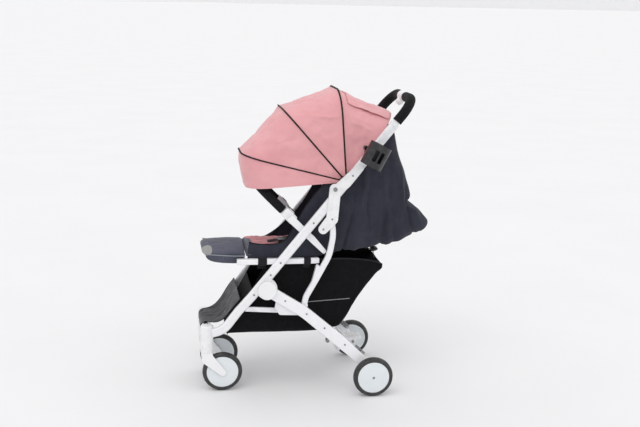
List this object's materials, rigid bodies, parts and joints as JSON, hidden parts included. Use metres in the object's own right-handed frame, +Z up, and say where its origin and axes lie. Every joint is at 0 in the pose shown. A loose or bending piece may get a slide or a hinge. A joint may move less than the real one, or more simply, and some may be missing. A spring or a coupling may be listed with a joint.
{
  "type": "baby stroller",
  "caption": "Folding lightweight baby stroller with reclining seat, ribbed canopy, leg rest, bumper bar, basket and swivel front casters.",
  "frame": {"origin": "on the floor, on the middle plane, near the middle of the stroller's length", "axes": "+Z up, the child faces -X, +Y to the child's right"},
  "size_m": [0.8369, 0.4918, 1.1009],
  "materials": {
    "white_paint": "gloss white powder coat",
    "white_plastic": "moulded white plastic",
    "black_plastic": "black moulded plastic",
    "black_foam": "closed-cell foam grip",
    "tyre": "solid foam tyre",
    "rim": "pale plastic disc",
    "steel": "dull steel",
    "pink_fabric": "dusty pink woven cloth",
    "navy_fabric": "dark navy woven cloth",
    "slate_fabric": "dark slate cloth",
    "black_mesh": "black knitted mesh"
  },
  "bodies": {
    "chassis": {"main_tube_left": "white_paint", "main_tube_right": "white_paint", "caster_housings": "white_plastic", "hub_casings": "white_plastic", "hub_caps": "white_plastic", "lower_braces": "white_paint", "front_cross_tube": "white_paint", "seat_rails": "white_paint", "seat_cross_rods": "steel", "armrest_arms": "white_paint", "bumper_sockets": "white_plastic", "frame_rivets": "steel", "canopy_clips": "black_plastic", "seat_base": "navy_fabric", "seat_liner": "pink_fabric", "harness_buckle": "black_plastic", "side_wings": "navy_fabric", "rear_curtain": "navy_fabric", "foot_panel": "navy_fabric", "basket": "black_mesh", "basket_tail": "black_mesh"},
    "push_bar": {"push_bar_tube": "white_paint", "foam_grips": "black_foam", "button_housing": "white_plastic", "fold_plates": "white_plastic", "plate_rivets": "steel", "cup_clamp": "black_plastic"},
    "fold_button": {"fold_button": "white_plastic"},
    "cup_holder": {"cup_holder": "black_plastic"},
    "side_link_left": {"side_link_left": "white_paint"},
    "side_link_right": {"side_link_right": "white_paint"},
    "rear_legs": {"rear_leg_left": "white_paint", "rear_leg_right": "white_paint", "rear_cross_tube": "white_paint", "suspension_springs": "steel", "leg_fittings": "steel"},
    "brake_pedal": {"brake_pedal": "white_plastic"},
    "rear_wheel_left": {"rear_tyre_left": "tyre", "rear_disc_left": "rim"},
    "rear_wheel_right": {"rear_tyre_right": "tyre", "rear_disc_right": "rim"},
    "front_caster_left": {"front_fork_left": "white_plastic"},
    "front_caster_right": {"front_fork_right": "white_plastic"},
    "front_wheel_left": {"front_tyre_left": "tyre", "front_disc_left": "rim"},
    "front_wheel_right": {"front_tyre_right": "tyre", "front_disc_right": "rim"},
    "backrest": {"backrest": "navy_fabric"},
    "leg_rest": {"leg_rest_pad": "slate_fabric", "leg_rest_board": "white_plastic"},
    "bumper_bar": {"bumper_bar": "black_foam"},
    "bumper_button_left": {"bumper_button_left": "white_plastic"},
    "bumper_button_right": {"bumper_button_right": "white_plastic"},
    "canopy_rear": {"canopy_rear_rib": "black_plastic", "canopy_rear_panel": "pink_fabric"},
    "canopy_middle": {"canopy_middle_rib": "black_plastic", "canopy_top_panel": "pink_fabric"},
    "canopy_front": {"canopy_front_rib": "white_plastic", "canopy_front_panel": "pink_fabric", "canopy_visor": "pink_fabric"}
  },
  "joints": [
    {"name": "push_bar_fold", "type": "hinge", "parent": "chassis", "child": "push_bar", "pos_m": [0.05, 0, 0.757], "axis": [0, -1, 0], "range_deg": [0, 75]},
    {"name": "rear_leg_fold", "type": "hinge", "parent": "chassis", "child": "rear_legs", "pos_m": [-0.188, 0, 0.398], "axis": [0, -1, 0], "range_deg": [0, 50.5], "deforming": ["basket_tail"]},
    {"name": "side_link_left_swing", "type": "hinge", "parent": "push_bar", "child": "side_link_left", "pos_m": [0.041, 0, 0.65], "axis": [0, -1, 0], "range_deg": [-96.8, 0]},
    {"name": "side_link_right_swing", "type": "hinge", "parent": "push_bar", "child": "side_link_right", "pos_m": [0.041, 0, 0.65], "axis": [0, -1, 0], "range_deg": [-96.8, 0]},
    {"name": "fold_button_press", "type": "slide", "parent": "push_bar", "child": "fold_button", "axis": [0.6392, 0, 0.769], "range_m": [0, 0.005], "stiffness_N_per_m": 400},
    {"name": "cup_holder_tilt", "type": "hinge", "parent": "push_bar", "child": "cup_holder", "pos_m": [0.17888, 0, 0.88586], "axis": [0, -1, 0], "range_deg": [-40, 27]},
    {"name": "canopy_rear_close", "type": "hinge", "parent": "chassis", "child": "canopy_rear", "pos_m": [0.095, 0, 0.778], "axis": [0, 1, 0], "range_deg": [0, 31], "deforming": ["canopy_rear_panel"]},
    {"name": "canopy_middle_close", "type": "hinge", "parent": "canopy_rear", "child": "canopy_middle", "pos_m": [0.095, 0, 0.778], "axis": [0, 1, 0], "range_deg": [0, 30.5], "deforming": ["canopy_top_panel"]},
    {"name": "canopy_front_close", "type": "hinge", "parent": "canopy_middle", "child": "canopy_front", "pos_m": [0.095, 0, 0.778], "axis": [0, 1, 0], "range_deg": [0, 27.5], "deforming": ["canopy_front_panel", "canopy_visor"]},
    {"name": "backrest_recline", "type": "hinge", "parent": "chassis", "child": "backrest", "pos_m": [0.04, 0, 0.535], "axis": [0, -1, 0], "range_deg": [0, 50], "deforming": ["rear_curtain"]},
    {"name": "leg_rest_tilt", "type": "hinge", "parent": "chassis", "child": "leg_rest", "pos_m": [-0.268, 0, 0.492], "axis": [0, -1, 0], "range_deg": [0, 50]},
    {"name": "bumper_bar_release", "type": "slide", "parent": "chassis", "child": "bumper_bar", "axis": [-0.7071, 0, 0.7071], "range_m": [0, 0.036]},
    {"name": "bumper_button_left_press", "type": "slide", "parent": "chassis", "child": "bumper_button_left", "axis": [-0.7071, 0, -0.7071], "range_m": [0, 0.004], "stiffness_N_per_m": 400},
    {"name": "bumper_button_right_press", "type": "slide", "parent": "chassis", "child": "bumper_button_right", "axis": [-0.7071, 0, -0.7071], "range_m": [0, 0.004], "stiffness_N_per_m": 400},
    {"name": "brake_pedal_press", "type": "hinge", "parent": "rear_legs", "child": "brake_pedal", "pos_m": [0.12, 0, 0.15], "axis": [0, 1, 0], "range_deg": [0, 15]},
    {"name": "rear_wheel_left_spin", "type": "hinge", "parent": "rear_legs", "child": "rear_wheel_left", "pos_m": [0.197, -0.218, 0.0725], "axis": [0, 1, 0], "continuous": true},
    {"name": "rear_wheel_right_spin", "type": "hinge", "parent": "rear_legs", "child": "rear_wheel_right", "pos_m": [0.197, 0.218, 0.0725], "axis": [0, 1, 0], "continuous": true},
    {"name": "front_caster_left_swivel", "type": "hinge", "parent": "chassis", "child": "front_caster_left", "pos_m": [-0.398, -0.104, 0.15], "axis": [0, 0, 1], "continuous": true},
    {"name": "front_caster_right_swivel", "type": "hinge", "parent": "chassis", "child": "front_caster_right", "pos_m": [-0.398, 0.104, 0.15], "axis": [0, 0, 1], "continuous": true},
    {"name": "front_wheel_left_spin", "type": "hinge", "parent": "front_caster_left", "child": "front_wheel_left", "pos_m": [-0.342, -0.104, 0.0725], "axis": [0, 1, 0], "continuous": true},
    {"name": "front_wheel_right_spin", "type": "hinge", "parent": "front_caster_right", "child": "front_wheel_right", "pos_m": [-0.342, 0.104, 0.0725], "axis": [0, 1, 0], "continuous": true}
  ],
  "couplings": [
    {"joint": "rear_leg_fold", "follows": "push_bar_fold", "ratio": 0.66667},
    {"joint": "side_link_left_swing", "follows": "push_bar_fold", "ratio": -1.284},
    {"joint": "side_link_right_swing", "follows": "push_bar_fold", "ratio": -1.284},
    {"joint": "canopy_middle_close", "follows": "canopy_rear_close", "ratio": 0.96774},
    {"joint": "canopy_front_close", "follows": "canopy_rear_close", "ratio": 0.87097}
  ]
}
